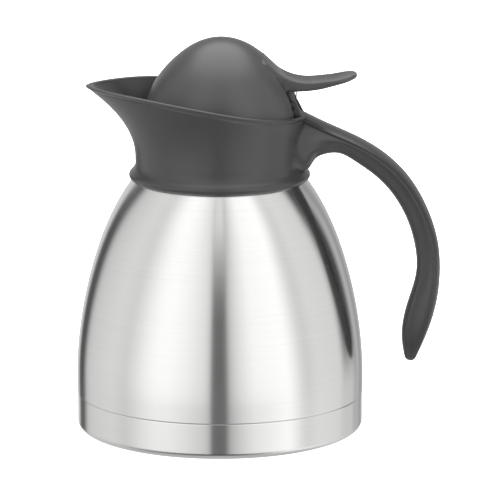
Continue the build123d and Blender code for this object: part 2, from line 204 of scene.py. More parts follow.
def mouldedPlastic(name, look):
    # Injection-moulded polypropylene with a spark-eroded texture: a dense fine grain that breaks up the
    # highlights, with slow changes of gloss where the melt flowed. The real grain is too fine to show, so
    # this one is coarser.
    material, tree = newMaterial(name)
    place = addNode(tree, "TexCoord")
    onPiece = [("Vector", place, "Object")]
    grain = addNode(tree, "TexNoise", onPiece, {"Scale": perMetre(look["grainMm"]), "Detail": 2.0})
    flow = addNode(tree, "TexNoise", onPiece, {"Scale": perMetre(look["flowMm"]), "Detail": 3.0})
    shades = {"A": linear(look["colour"]), "B": linear(look["paler"])}
    shade = addNode(tree, "Mix", [("Factor", flow, "Fac")], shades, data_type="RGBA")
    glossy, dull = look["roughness"]
    limits = {"From Min": 0.3, "From Max": 0.7, "To Min": glossy, "To Max": dull}  # most of the noise's range
    gloss = addNode(tree, "MapRange", [("Value", flow, "Fac")], limits)
    relief = {"Strength": look["bump"], "Distance": look["bumpMm"] * mm}
    bump = addNode(tree, "Bump", [("Height", grain, "Fac")], relief)
    links = [("Base Color", shade, "Result"), ("Roughness", gloss, "Result"), ("Normal", bump, "Normal")]
    surface = addNode(tree, "BsdfPrincipled", links, {"IOR": 1.49})
    addNode(tree, "OutputMaterial", [("Surface", surface, "BSDF")])
    return material


def brushedSteel(name, look):
    # Cold-drawn 18/8 stainless steel, turned against a fine belt: hair lines run round the axis, so
    # highlights stay crisp from side to side and smear up and down. Real hair lines are too fine to show, so
    # these are drawn coarser.
    material, tree = newMaterial(name)
    place = addNode(tree, "TexCoord")
    onPiece = [("Vector", place, "Object")]
    across, along = perMetre(look["lineMm"]), perMetre(look["strokeMm"])
    lines = addNode(tree, "Mapping", onPiece, {"Scale": (along, along, across)})
    fine = {"Scale": 1.0, "Detail": 3.0, "Roughness": 0.6}
    hair = addNode(tree, "TexNoise", [("Vector", lines, "Vector")], fine)
    cloud = addNode(tree, "TexNoise", onPiece, {"Scale": perMetre(look["cloudMm"])})
    shades = {"A": linear(look["dark"]), "B": linear(look["pale"])}
    shade = addNode(tree, "Mix", [("Factor", hair, "Fac")], shades, data_type="RGBA")
    mixed = addNode(tree, "Math", [(0, hair, "Fac"), (1, cloud, "Fac")], operation="ADD")
    bright, dull = look["roughness"]
    limits = {"From Min": 0.7, "From Max": 1.3, "To Min": bright, "To Max": dull}  # most of the noises' sum
    gloss = addNode(tree, "MapRange", [("Value", mixed, "Value")], limits)
    relief = {"Strength": look["bump"], "Distance": look["bumpMm"] * mm}
    bump = addNode(tree, "Bump", [("Height", hair, "Fac")], relief)
    turned = addNode(tree, "Tangent", direction_type="RADIAL", axis="Z")
    links = [("Base Color", shade, "Result"), ("Roughness", gloss, "Result"), ("Normal", bump, "Normal")]
    links.append(("Tangent", turned, "Tangent"))
    quarterTurn = 0.25  # turns the smear from along the hair lines to across them
    fixed = {"Metallic": 1.0, "Anisotropic": look["anisotropy"], "Anisotropic Rotation": quarterTurn}
    surface = addNode(tree, "BsdfPrincipled", links, fixed)
    addNode(tree, "OutputMaterial", [("Surface", surface, "BSDF")])
    return material


collarLook = {
    "colour": "#303030", "paler": "#353535", "grainMm": 0.35, "flowMm": 30.0, "roughness": (0.285, 0.32),
    "bump": 0.15, "bumpMm": 0.03,
}
lidLook = dict(collarLook, colour="#393939", paler="#3e3e3e", roughness=(0.3, 0.35))
steelLook = {
    "dark": "#d6d6d5", "pale": "#e2e2e1", "lineMm": 0.3, "strokeMm": 90.0, "cloudMm": 60.0,
    "roughness": (0.15, 0.19), "bump": 0.05, "bumpMm": 0.01, "anisotropy": 0.75,
}
flaskLook = dict(steelLook, dark="#b4b4b3", pale="#c6c6c5", roughness=(0.3, 0.4), lineMm=0.8)
# The wire steel's near-black colour is painted shade: the pin and spring sit in the shaded hinge pocket.
wireLook = dict(steelLook, dark="#38383a", pale="#444446", roughness=(0.35, 0.42), lineMm=0.2, anisotropy=0.0)
siliconeLook = dict(collarLook, colour="#b9b8b4", paler="#c2c1bd", roughness=(0.5, 0.6), grainMm=0.5)
baseLook = dict(collarLook, colour="#2b2c2d", paler="#303132", roughness=(0.5, 0.6), grainMm=0.8)
foamLook = dict(collarLook, colour="#e4e2dc", paler="#edebe6", roughness=(0.8, 0.9), grainMm=1.2, bump=0.6)

collarPlastic = mouldedPlastic("satin_polypropylene_moulded", collarLook)  # an even, dark satin sheen
lidPlastic = mouldedPlastic("satin_polypropylene_lid", lidLook)  # the same plastic, a little paler and duller
basePlastic = mouldedPlastic("matt_polypropylene_base", baseLook)  # coarser grain, almost no highlight
silicone = mouldedPlastic("silicone_rubber_moulded", siliconeLook)  # pale, with wide weak highlights
foam = mouldedPlastic("polyurethane_foam_cut", foamLook)  # cut open cells: rough and without highlights
steel = brushedSteel("stainless_steel_brushed", steelLook)  # bright, with crisp upright bands
flaskSteel = brushedSteel("stainless_steel_spun", flaskLook)  # left as spun: duller, with wider lines
wireSteel = brushedSteel("spring_steel_painted_shade", wireLook)  # hardened; nearly black with a dull gloss, painted shade to match the shaded hinge pocket
print("materials made")

# Steel bell: from the seam up to the neck's top, with its inside wall

bell = {
    "wall": 0.6, "bodyRadius": 68.6, "seam": 17.2, "straightTop": 24.2, "middle": (61.9, 74.6),
    "shoulder": (41.3, 120.5), "shoulderLean": (-0.6, 0.8), "neckRadius": 36.0, "neckStart": 131.0,
    "neckTop": 140.0, "edge": 0.4, "edgeRings": (0.6, 1.0), "segments": 256,
}


def bellOutline(inset):
    # The bell's line as (radius, height). Outside, its lower edge is rounded, and two rings close above it
    # keep the shading straight.
    side, seam, edge = bell["bodyRadius"] - inset, bell["seam"], bell["edge"]
    foot = arc((side - edge, seam + edge), edge, -80, 0, 7) if inset == 0 else [(side, seam)]
    aboveFoot = [(side, seam + rise) for rise in bell["edgeRings"]]
    start = (side, bell["straightTop"])
    middle = (bell["middle"][0] - inset, bell["middle"][1])
    shoulder = (bell["shoulder"][0] - inset, bell["shoulder"][1])
    neck = (bell["neckRadius"] - inset, bell["neckStart"])
    top = (bell["neckRadius"] - inset, bell["neckTop"])
    body = smoothCurve([start, middle, shoulder], 90, (0, 1), bell["shoulderLean"])
    blend = smoothCurve([shoulder, neck], 16, bell["shoulderLean"], (0, 1))
    return np.vstack([foot, aboveFoot, body, blend[1:], [top]])


bellWalls = np.vstack([bellOutline(0), bellOutline(bell["wall"])[::-1]])
bellGrid = revolve(bellWalls, bell["segments"])
bellSkin = makePiece("bellSkin", [bellGrid], "vessel", ["outer_shell"])
bellSkin.data.materials.append(steel)

# Base cup: lower band with a rolled bottom edge, and the recess under it

cup = {
    "radius": 68.35, "corner": 3.0, "seam": 17.2, "lapTop": 21.2, "lapRadius": 67.95, "wall": 0.7,
    "recess": 52.0, "depth": 5.0, "edge": 0.4, "cornerRings": (0.3, 0.8), "edgeRings": (1.2, 0.7),
    "segments": 256,
}
cupCorner = arc((cup["radius"] - cup["corner"], cup["corner"]), cup["corner"], -90, 0, 16)
cupEdge = arc((cup["radius"] - cup["edge"], cup["seam"] - cup["edge"]), cup["edge"], 0, 90, 7)
lapInside, cupFloor = cup["lapRadius"] - cup["wall"], cup["depth"] + cup["wall"]
cupOutline = np.vstack(
    [
        [(nearAxis, cup["depth"]), (cup["recess"] - cup["depth"], cup["depth"]), (cup["recess"], 0)],
        cupCorner,
        [(cup["radius"], cup["corner"] + rise) for rise in cup["cornerRings"]],
        [(cup["radius"], cup["seam"] - fall) for fall in cup["edgeRings"]],
        cupEdge,
        [(cup["lapRadius"], cup["seam"]), (cup["lapRadius"], cup["lapTop"])],
        [(lapInside, cup["lapTop"]), (lapInside, cupFloor), (nearAxis, cupFloor)],
    ]
)
bandSkin = makePiece("bandSkin", [revolve(cupOutline, cup["segments"])], "vessel", ["base_cup"])
bandSkin.data.materials.append(steel)

# Collar: bead, waist and spout, with a rounded lip and the funnel inside

collar = {
    "foot": [
        (41.4, 120.3), (42.8, 121.5), (43.1, 122.9), (41.9, 124.7), (40.3, 127.0), (40.05, 129.5),
        (40.1, 131.5),
    ],
    "waist": 131.5, "waistRadius": 40.1, "rise": 34.2, "throw": 24.4, "flare": 2.4,
    "round": 12.0, "spread": 27.0,  # degrees: how blunt the spout's tip is, and how far round it spreads
    "shelfTop": 144.0, "shelfBottom": 141.4, "shelfRadius": 33.5,
    "bore": 37.9, "boreFoot": 131.0, "footThroat": (38.6, 127.0), "footInner": 41.2,
    "rim": [(-80.0, 166.4), (-63.6, 165.6), (-40.0, 164.7), (0.0, 159.2), (41.0, 151.9), (60.0, 149.8)],
    "rimGuess": 158.0, "wall": 2.2, "lip": 2.2, "lipRise": 0.7,
    "underLip": 0.3, "underDrop": 1.2, "underWidth": 0.5,  # the groove under the lip
    "tableTop": 170, "columns": 360,
}
theta = np.radians(np.arange(collar["columns"]) * 360 / collar["columns"])
offSpout = np.abs(np.degrees(theta) - 180)
lead = np.exp((collar["round"] - np.hypot(offSpout, collar["round"])) / collar["spread"])
rimLine = smoothCurve(collar["rim"], 400)


def flareRadius(height, wall):
    # Above the waist the radius and the spout's reach grow with the square of the height, and the reach is
    # shared out round the collar by how far a direction is from the spout.
    share = np.maximum((height - collar["waist"]) / collar["rise"], 0)
    lean = 2 * collar["throw"] / collar["rise"] * share
    radius = collar["waistRadius"] + collar["flare"] * share**2 - wall
    reach = collar["waistRadius"] + collar["throw"] * share**2 - wall * np.hypot(1, lean)
    return radius + (reach - radius) * lead


def rimHeight(wall):
    # The height at which the flared wall meets the rim line, found by walking up to it a few times.
    height = np.full_like(theta, collar["rimGuess"])
    for _ in range(30):
        across = flareRadius(height, wall) * np.cos(theta)
        height = 0.5 * height + 0.5 * np.interp(across, rimLine[:, 0], rimLine[:, 1])
    return height


outerTop, innerTop = rimHeight(0), rimHeight(collar["lip"])
drop = collar["lipRise"]
foot = smoothCurve(collar["foot"], 22, None, (0, 1))
rows = [(np.full_like(theta, r), np.full_like(theta, z)) for r, z in foot[:-1]]
for share in 1 - np.linspace(1, 0, 50) ** 1.6:  # rows up from the waist, closer together towards the lip
    height = collar["waist"] + (outerTop - drop - collar["waist"]) * share
    # A shallow groove under the lip, deepest a little below it and fading as exp(-(distance / width)^2).
    below = (outerTop - drop - height - collar["underDrop"]) / collar["underWidth"]
    rows.append((flareRadius(height, 0) - collar["underLip"] * np.exp(-(below**2)), height))
innerHeight = innerTop - drop
innerR = flareRadius(innerHeight, collar["lip"])
outerR, outerHeight = rows[-1]
for lipTurn in np.radians(np.linspace(0, 180, 13)[1:-1]):
    side, up = (1 + math.cos(lipTurn)) / 2, math.sin(lipTurn) * drop
    rows.append((innerR + (outerR - innerR) * side, innerHeight + (outerHeight - innerHeight) * side + up))
for share in np.linspace(1, 0, 42):
    height = collar["shelfTop"] + (innerHeight - collar["shelfTop"]) * share
    wall = collar["wall"] + (collar["lip"] - collar["wall"]) * share
    rows.append((flareRadius(height, wall), height))
for radius, height in (
    (collar["shelfRadius"], collar["shelfTop"]),
    (collar["shelfRadius"], collar["shelfBottom"]),
    (collar["bore"], collar["shelfBottom"]),
    (collar["bore"], collar["boreFoot"]),
    collar["footThroat"],
    (collar["footInner"], collar["foot"][0][1]),
):
    rows.append((np.full_like(theta, radius), np.full_like(theta, height)))
radii, heights = np.array([r for r, _ in rows]), np.array([z for _, z in rows])
collarPoints = np.stack([radii * np.cos(theta), radii * np.sin(theta), heights], axis=2)
collarGrid = (collarPoints, gridFaces(len(rows), collar["columns"], True, True))

# Handle: a channel-shaped body whose root flares into the collar, closed by a domed outer strip

grip = {
    "corner": (41.0, 151.4),  # both rails are measured from here, at the collar's rear
    "outer": [
        (-11.0, 5.5), (-4.2, 2.6), (7.5, -3.1), (25.6, -11.4), (38.2, -19.3), (49.3, -30.4), (58.1, -45.6),
        (63.1, -61.2), (64.3, -76.8), (61.9, -95.0), (56.6, -110.6), (52.3, -120.4),
    ],
    "inner": [
        (-11.0, -28.8), (-3.4, -28.2), (1.4, -25.4), (4.6, -20.9), (9.0, -18.9), (15.1, -18.5), (23.0, -22.4),
        (33.7, -30.2), (45.8, -45.6), (51.6, -61.2), (52.8, -76.8), (48.7, -92.0), (46.2, -108.2),
        (48.0, -120.2),
    ],
    "strip": 10.2, "flank": 9.6, "flankLevel": 0.55, "edge": 6.6, "innerRound": 2.6, "taper": 0.09,
    "flare": 15.1, "flareLength": 13.4, "flarePower": 1.3, "edgeFlare": 0.9, "leanReach": 1.5,  # the root
    "tipStart": 0.8, "tipNarrow": 0.97, "roundFrom": 0.985, "roundTo": 0.995,  # the tip, in shares
    "groove": 0.3, "grooveEnd": 0.45, "overhang": 0.2,  # where the strip sits on the body
    "crown": 1.8, "coverEdge": 1.3, "coverBevel": 0.9, "coverRound": 0.35, "coverDraft": 0.3,
    "sections": 240, "coverFrom": 12,  # the strip starts at this section
}
gripCorner = np.array(grip["corner"])
outerRail = smoothCurve(grip["outer"], grip["sections"]) + gripCorner
innerRail = smoothCurve(grip["inner"], grip["sections"]) + gripCorner
along = np.linspace(0, 1, grip["sections"])
railLength = np.linalg.norm(np.diff(outerRail, axis=0), axis=1).sum()
rootFlare = grip["flare"] * np.exp(-((along * railLength / grip["flareLength"]) ** grip["flarePower"]))
past = np.clip((along - grip["tipStart"]) / (1 - grip["tipStart"]), 0, 1) * grip["tipNarrow"]
scale = (1 - grip["taper"] * along) * np.sqrt(1 - past**2)
strip, flank = grip["strip"] * scale, grip["flank"] * scale + rootFlare
edge = grip["edge"] * scale + grip["edgeFlare"] * rootFlare
across = outerRail - innerRail
depth = np.linalg.norm(across, axis=1)
across = across / depth[:, None]
# The last stretch closes in a quarter round: half the depth times 1 - sqrt(1 - t^2), t growing to 1 there.
closing = np.clip((along - grip["roundFrom"]) / (1 - grip["roundFrom"]), 0, grip["roundTo"])
closed = np.sqrt(1 - closing**2)
inset = depth / 2 * (1 - closed)
innerRail = innerRail + across * inset[:, None]
depth = depth - 2 * inset
scale = scale * closed
strip, flank, edge = strip * closed, flank * closed, edge * closed
crease = depth - grip["crown"] * scale
groove = grip["groove"] * np.clip(1 - along / grip["grooveEnd"], 0, 1)
stripLow = crease - grip["coverEdge"] * scale


def gripPoints(sideways, inward):
    # Points from their distance off the middle plane and their distance out from the inner rail.
    x = innerRail[:, :1] + across[:, :1] * inward
    z = innerRail[:, 1:] + across[:, 1:] * inward
    return np.stack([x, sideways + 0 * x, z], axis=2)


# Each flank is a parabola through its top edge, its widest line and its lower edge, and a half round joins
# the two flanks.
topSide = (strip - grip["overhang"] * scale - groove)[:, None]
topIn, middleIn = stripLow[:, None], grip["flankLevel"] * depth[:, None]
lowIn = (grip["innerRound"] * scale)[:, None]
share = np.linspace(0, 1, 17)[None, :]
weights = (2 * (share - 0.5) * (share - 1), 4 * share * (1 - share), 2 * share * (share - 0.5))
flankSide = weights[0] * topSide + weights[1] * flank[:, None] + weights[2] * edge[:, None]
flankIn = weights[0] * topIn + weights[1] * middleIn + weights[2] * lowIn
edgeTurn = np.radians(np.linspace(0, 180, 21)[1:-1])[None, :]
edgeSide, edgeIn = edge[:, None] * np.cos(edgeTurn), lowIn * (1 - np.sin(edgeTurn))
bodySide = np.hstack([flankSide, edgeSide, -flankSide[:, ::-1]])
bodyIn = np.hstack([flankIn, edgeIn, flankIn[:, ::-1]])
bodyGrid = gripPoints(bodySide, bodyIn)
bodyFaces = tubeFaces(*bodyGrid.shape[:2])

# The strip's top is a parabola across its width, a little lower at its two edges to round them.
crosswise = np.linspace(-1, 1, 17)[None, :]
crowned = crease[:, None] + (depth - crease)[:, None] * (1 - crosswise**2)
coverTop = crowned - grip["coverRound"] * scale[:, None] * (np.abs(crosswise) > 0.999)
coverSide, lowSide = strip[:, None], (strip - grip["coverDraft"] * scale)[:, None]
coverIn, coverLow = (crease - grip["coverBevel"] * scale)[:, None], stripLow[:, None]
coverSides = np.hstack([coverSide * crosswise, coverSide, lowSide, -lowSide, -coverSide])
coverIns = np.hstack([coverTop, coverIn, coverLow, coverLow, coverIn])
coverGrid = gripPoints(coverSides, coverIns)[grip["coverFrom"] :]
coverFaces = tubeFaces(*coverGrid.shape[:2])

# Hinge ears on the collar: a round knuckle that slopes back to the rim


def bendsInward(before, corner, after):
    # Whether a way round three points goes straight on or turns clockwise at the middle one.
    x, z = corner[0] - before[0], corner[1] - before[1]
    farX, farZ = after[0] - before[0], after[1] - before[1]
    return x * farZ <= z * farX


def hull(points):
    # The outline of the smallest convex shape round the points: two chains, one from left to right and one
    # back, that drop each corner where they would bend inward.
    points = sorted(map(tuple, points))
    lower, upper = [], []
    for chain, run in ((lower, points), (upper, points[::-1])):
        for point in run:
            while len(chain) > 1 and bendsInward(chain[-2], chain[-1], point):
                chain.pop()
            chain.append(point)
    return np.array(lower[:-1] + upper[:-1])


def plate(outline, inner, outer, bevel=0.3):
    # A flat plate between two distances from the middle plane, with both rims drawn in to round them.
    centre = outline.mean(axis=0)
    small = centre + (outline - centre) * (1 - bevel / np.linalg.norm(outline - centre, axis=1).mean())
    rings = [(small, inner), (outline, inner + bevel), (outline, outer - bevel), (small, outer)]
    points = np.array([[(x, y, z) for x, z in ring] for ring, y in rings])
    return points, tubeFaces(len(rings), len(outline))


def mirroredPlates(outline, inner, outer, bevel=0.3):
    return [plate(outline, inner, outer, bevel), plate(outline, -outer, -inner, bevel)]


hinge = {
    "x": 34.3, "z": 156.2, "ear": 2.8, "earIn": 7.0, "earOut": 10.0, "slopeEnd": (5.5, -4.5), "footIn": 3.3,
    "footDrop": -8.0,
}
hingePlace = (hinge["x"], hinge["z"])
knuckle = arc((0, 0), hinge["ear"], 0, 360, 41)[:-1]
earFoot = [hinge["slopeEnd"], (hinge["slopeEnd"][0], hinge["footDrop"]), (hinge["footIn"], hinge["footDrop"])]
earOutline = hull(np.vstack([knuckle, earFoot])) + hingePlace
ears = mirroredPlates(earOutline, hinge["earIn"], hinge["earOut"])
collarSkin = makePiece("collarSkin", [collarGrid, *ears], "vessel", ["spout_collar"])
collarSkin.data.materials.append(collarPlastic)
gripSkin = makePiece("handleBody", [(bodyGrid, bodyFaces)], "vessel", ["spout_collar"])
gripSkin.data.materials.append(collarPlastic)


def leanOnCollar(piece, reach):
    # Turns the normals near the collar towards the collar's own, by exp(-(distance / reach)^2), so that the
    # root looks run into it.
    mesh = piece.data
    points = np.empty(len(mesh.vertices) * 3)
    mesh.vertices.foreach_get("co", points)
    x, y, z = points.reshape(-1, 3).T / mm
    loops = np.empty(len(mesh.loops), int)
    mesh.loops.foreach_get("vertex_index", loops)
    normals = np.empty(len(mesh.loops) * 3)
    mesh.corner_normals.foreach_get("vector", normals)
    normals = normals.reshape(-1, 3)
    # A table of the collar's radius by height, from its foot to past its rim, without the spout.
    heights = np.linspace(collar["foot"][0][1], collar["tableTop"], 800)
    share = np.maximum((heights - collar["waist"]) / collar["rise"], 0)
    footRadius = np.interp(heights, foot[:, 1], foot[:, 0])
    flared = collar["waistRadius"] + collar["flare"] * share**2
    radii = np.where(heights < collar["waist"], footRadius, flared)
    slope = np.gradient(radii, heights)
    out = np.hypot(x, y)
    distance = np.abs(out - np.interp(z, heights, radii))
    across = np.stack([x / out, y / out, -np.interp(z, heights, slope)], axis=1)
    across /= np.linalg.norm(across, axis=1)[:, None]
    weight = np.exp(-((distance / reach) ** 2))[:, None]
    mixed = normals * (1 - weight[loops]) + across[loops] * weight[loops]
    mixed /= np.linalg.norm(mixed, axis=1)[:, None]
    mesh.normals_split_custom_set(mixed.tolist())


leanOnCollar(gripSkin, grip["leanReach"])
coverSkin = makePiece("handleStrip", [(coverGrid, coverFaces)], "vessel", ["handle_cover"])
coverSkin.data.materials.append(collarPlastic)

# Lid dome: a turned dome, closed flat below, with the hinge pocket cut from its rear

dome = {
    "offset": 0.8, "base": 147.4, "height": 41.1, "radius": 37.2,
    "outline": [(11.0, -2.4), (22.0, -9.9), (33.1, -24.2)], "edgeLean": (0.05, -1), "rimWidth": 2.2,
    "pocketFront": 27.0, "pocketHalf": 13.3, "pocketBack": 80.0, "pocketMargin": 5.0, "sharpAngle": 40,
    "segments": 256,
}
domeTop = dome["base"] + dome["height"]
domeKnots = [(0, domeTop), *((r, domeTop + z) for r, z in dome["outline"]), (dome["radius"], dome["base"])]
domeCurve = smoothCurve(domeKnots, 90, (1, 0), dome["edgeLean"])
domeFoot = [(dome["radius"] - dome["rimWidth"], dome["base"]), (nearAxis, dome["base"])]
domeOutline = np.vstack([domeCurve, domeFoot])
domeOutline[0, 0] = nearAxis
domePoints, domeFaces = revolve(domeOutline, dome["segments"], dome["offset"])


def cutBox(name, low, high):
    # A box between its lowest and highest corner, in millimetres, to cut with.
    mesh = bpy.data.meshes.new(name)
    x, y, z = (np.array([a, b]) * mm for a, b in zip(low, high))
    corners = np.stack(np.meshgrid(x, y, z, indexing="ij"), axis=-1).reshape(-1, 3)
    faces = [(0, 1, 3, 2), (4, 6, 7, 5), (0, 4, 5, 1), (2, 3, 7, 6), (0, 2, 6, 4), (1, 5, 7, 3)]
    mesh.from_pydata(corners.tolist(), [], faces)
    cutter = bpy.data.objects.new(name, mesh)
    bpy.context.scene.collection.objects.link(cutter)
    return cutter


def cutAway(piece, cutter):
    # Takes the cutter's room out of the piece, and keeps the result as the piece's own mesh.
    modifier = piece.modifiers.new("cut", "BOOLEAN")
    modifier.operation = "DIFFERENCE"
    modifier.solver = "EXACT"
    modifier.object = cutter
    bpy.context.view_layer.update()
    graph = bpy.context.evaluated_depsgraph_get()
    shaped = bpy.data.meshes.new_from_object(piece.evaluated_get(graph))
    piece.modifiers.clear()
    shaped.name = piece.name
    piece.data = shaped
    bpy.data.objects.remove(cutter)


domeSkin = makePiece("lidDome", [(domePoints, domeFaces)], "lid", ["lid_dome"])
pocketLow = (dome["pocketFront"], -dome["pocketHalf"], dome["base"] - dome["pocketMargin"])
pocketHigh = (dome["pocketBack"], dome["pocketHalf"], domeTop + dome["pocketMargin"])
cutAway(domeSkin, cutBox("pocketCutter", pocketLow, pocketHigh))
domeSkin.data.materials.clear()
domeSkin.data.materials.append(lidPlastic)
finishMesh(domeSkin, dome["sharpAngle"])


def domeHeight(x, y):
    # The height of the dome's surface above a place on the ground plan.
    radius = np.hypot(x - dome["offset"], y)
    return np.interp(radius, domeCurve[:, 0], domeCurve[:, 1])


# Thumb lever: a dished blade with rounded rims, hollow below, that runs out of the dome's surface

blade = {
    "pivot": (34.3, 156.2),
    "top": [
        (-14.8, 24.6), (-10.0, 19.8), (-4.8, 15.9), (1.9, 13.2), (8.0, 12.5), (14.7, 13.0), (23.2, 14.1),
        (29.0, 15.0), (30.9, 15.0),
    ],
    "bottom": [
        (-14.8, 8.0), (-7.2, 7.5), (1.6, 7.5), (8.5, 7.9), (14.7, 8.9), (23.2, 11.2), (29.0, 12.9),
        (30.9, 13.6),
    ],
    "half": 10.5, "rootHalf": 12.6, "rootEnd": 30.0, "corner": 9.0,  # half widths and the tip's round corners
    "tipStub": 0.02, "tipThin": 1.6, "dish": 1.3, "dishFade": 12,
    "rim": 1.5, "rimShare": 0.45, "under": 1.8, "underShare": 0.5,  # edges rounded above and below
    "wall": 1.8, "plate": 1.9, "leastPlate": 0.05, "hollowFrom": 36.2, "hollowTo": 61.5,  # hollow from below
    "proud": 0.12, "soft": 1.6, "rootRise": 0.4, "rootSink": 0.25,  # how the root leaves the dome
    "domeEnd": 31.5, "buriedTo": 26.9, "buried": 0.6,
    "ridge": 0.2, "ridgePitch": 2.2, "ridgeFrom": 42.5, "ridgeTo": 53.5,  # thumb ridges
    "ridgeEase": 4, "ridgeHalf": 6.5, "ridgeFade": 1.5,
    "columns": 130, "sharpAngle": 50,
}


def edgeFall(radius, distance):
    # How far a rounded edge has fallen at a distance from the rim: r - sqrt(r^2 - (r - distance)^2).
    return radius - np.sqrt(np.maximum(radius**2 - (radius - distance) ** 2, 0))


startX, endX = blade["pivot"][0] + blade["top"][0][0], blade["pivot"][0] + blade["top"][-1][0]
lengthwise = np.linspace(0, 1, blade["columns"])
bladeX = startX + (endX - startX) * (1 - (1 - lengthwise) ** 1.6)  # closer together towards the tip
topLine = smoothCurve(blade["top"], 400) + np.array(blade["pivot"])
bottomLine = smoothCurve(blade["bottom"], 400) + np.array(blade["pivot"])
topZ, bottomZ = np.interp(bladeX, *topLine.T), np.interp(bladeX, *bottomLine.T)
fromTip = np.clip(endX - bladeX, blade["tipStub"], blade["corner"])
half = blade["half"] - blade["corner"] + np.sqrt(blade["corner"] ** 2 - (blade["corner"] - fromTip) ** 2)
rootShare = np.clip((blade["rootEnd"] - bladeX) / (blade["rootEnd"] - startX), 0, 1)
half = (half + (blade["rootHalf"] - blade["half"]) * rootShare**1.5)[:, None]
tipThin = np.sqrt(1 - (1 - np.clip((endX - bladeX) / blade["tipThin"], 0.0, 1.0)) ** 2)
middleZ = (topZ + bottomZ) / 2
topZ, bottomZ = middleZ + (topZ - middleZ) * tipThin, middleZ + (bottomZ - middleZ) * tipThin
v = np.sin(np.linspace(-1, 1, 41) * math.pi / 2)[None, :]
sideways = half * v
fromSide = half * (1 - np.abs(v))
rim = np.minimum(blade["rim"], blade["rimShare"] * (topZ - bottomZ))[:, None]
rimFall = edgeFall(rim, np.minimum(fromSide, rim))
dishEnds = np.clip((endX - bladeX) / blade["dishFade"], 0, 1)[:, None] * (1 - rootShare[:, None])
dish = blade["dish"] * (1 - v**2) * dishEnds
# Thumb ridges: rounded waves along the blade, fading out at both ends and towards the sides.
betweenEnds = (bladeX - blade["ridgeFrom"]) * (blade["ridgeTo"] - bladeX)
inRidges = np.clip(betweenEnds / blade["ridgeEase"], 0, 1)[:, None]
inMiddle = np.clip((blade["ridgeHalf"] - np.abs(sideways)) / blade["ridgeFade"], 0, 1)
wave = np.cos(2 * math.pi * (bladeX - blade["ridgeFrom"]) / blade["ridgePitch"])[:, None]
ridge = blade["ridge"] / 2 * (1 - wave) * inRidges * inMiddle
upper = topZ[:, None] - dish - rimFall + ridge
# Over the dome the blade is the higher of its own top and the dome's skin. Where the two are nearer than the
# soft distance they are joined by a fillet of gap^2 * soft / 4, and the root rises out of the dome on a ramp.
onDome = domeHeight(bladeX[:, None] + 0 * sideways, sideways)
gap = np.maximum(blade["soft"] - np.abs(upper - onDome - blade["proud"]), 0) / blade["soft"]
raised = np.maximum(upper, onDome + blade["proud"]) + gap**2 * blade["soft"] / 4
ramp = onDome + blade["rootRise"] * (bladeX - startX)[:, None] - blade["rootSink"]
pastDome = (bladeX > blade["domeEnd"])[:, None]
upper = np.where(pastDome, upper, np.minimum(raised, ramp))
inDome = (bladeX < blade["buriedTo"])[:, None]
lower = np.where(inDome, onDome - blade["buried"], bottomZ[:, None] + 0 * sideways)
under = np.minimum(blade["under"], blade["underShare"] * (topZ - bottomZ))[:, None]
underFall = edgeFall(under, np.minimum(fromSide, under)) * pastDome
lower = np.minimum(lower + underFall, upper - blade["leastPlate"])
hollow = ((bladeX > blade["hollowFrom"]) & (bladeX < blade["hollowTo"]))[:, None]
inHollow = hollow & (np.abs(sideways) < half - blade["wall"])
underneath = np.where(inHollow, np.maximum(lower, upper - blade["plate"]), lower)
bladeSides = np.hstack([sideways, sideways[:, ::-1]])
bladeHeights = np.hstack([upper, underneath[:, ::-1]])
bladePoints = np.stack([bladeX[:, None] + 0 * bladeSides, bladeSides, bladeHeights], axis=2)
bladeFaces = tubeFaces(*bladePoints.shape[:2])

barrel = {"radius": 2.5, "inner": 3.3, "outer": 6.7, "front": -5.0, "back": 0.4, "top": 8.5, "bevel": 0.2}
barrelRound = arc((0, 0), barrel["radius"], 0, 360, 41)[:-1]
webTop = [(barrel["front"], barrel["top"]), (barrel["back"], barrel["top"])]
webOutline = hull(np.vstack([barrelRound, webTop])) + hingePlace
webs = mirroredPlates(webOutline, barrel["inner"], barrel["outer"], barrel["bevel"])
leverParts = [(bladePoints, bladeFaces), *webs]
leverSkin = makePiece("thumbLever", leverParts, "lid", ["thumb_lever"], blade["sharpAngle"])
leverSkin.data.materials.append(lidPlastic)

# Return spring: a coil round the pin, one leg resting on the collar and one reaching towards the lever

spring = {
    "wire": 0.3, "radius": 2.0, "length": 3.6, "turns": 1.897, "restLeg": 6.6, "leverLeg": 9.0,
    "restAngle": 37.0, "bendFrom": 2.5, "bendTo": 7.0, "sides": 12,
}
angles = np.radians(np.linspace(0, spring["turns"] * 360, 120))
climb = spring["length"] / angles[-1]
radial = np.stack([np.cos(angles), np.sin(angles), 0 * angles], axis=1)
coil = radial * spring["radius"] + np.stack([0 * angles, 0 * angles, climb * angles], axis=1)
pace = np.stack([-np.sin(angles), np.cos(angles)], axis=1) * spring["radius"]
heading = np.hstack([pace, climb + 0 * angles[:, None]])
heading /= np.linalg.norm(heading, axis=1)[:, None]
restRun = np.linspace(-spring["restLeg"], 0, 12)[:-1, None]
leverRun = np.linspace(0, spring["leverLeg"], 30)[1:, None]
wirePath = np.vstack([coil[0] + heading[0] * restRun, coil, coil[-1] + heading[-1] * leverRun])
before, after = np.ones((len(restRun), 1)), np.ones((len(leverRun), 1))
outward = np.vstack([radial[0] * before, radial, radial[-1] * after])
sideward = np.cross(np.vstack([heading[0] * before, heading, heading[-1] * after]), outward)
wireTurn = np.radians(np.arange(spring["sides"]) * 360 / spring["sides"])[None, :, None]
wireRing = outward[:, None, :] * np.cos(wireTurn) + sideward[:, None, :] * np.sin(wireTurn)
wire = wirePath[:, None, :] + spring["wire"] * wireRing
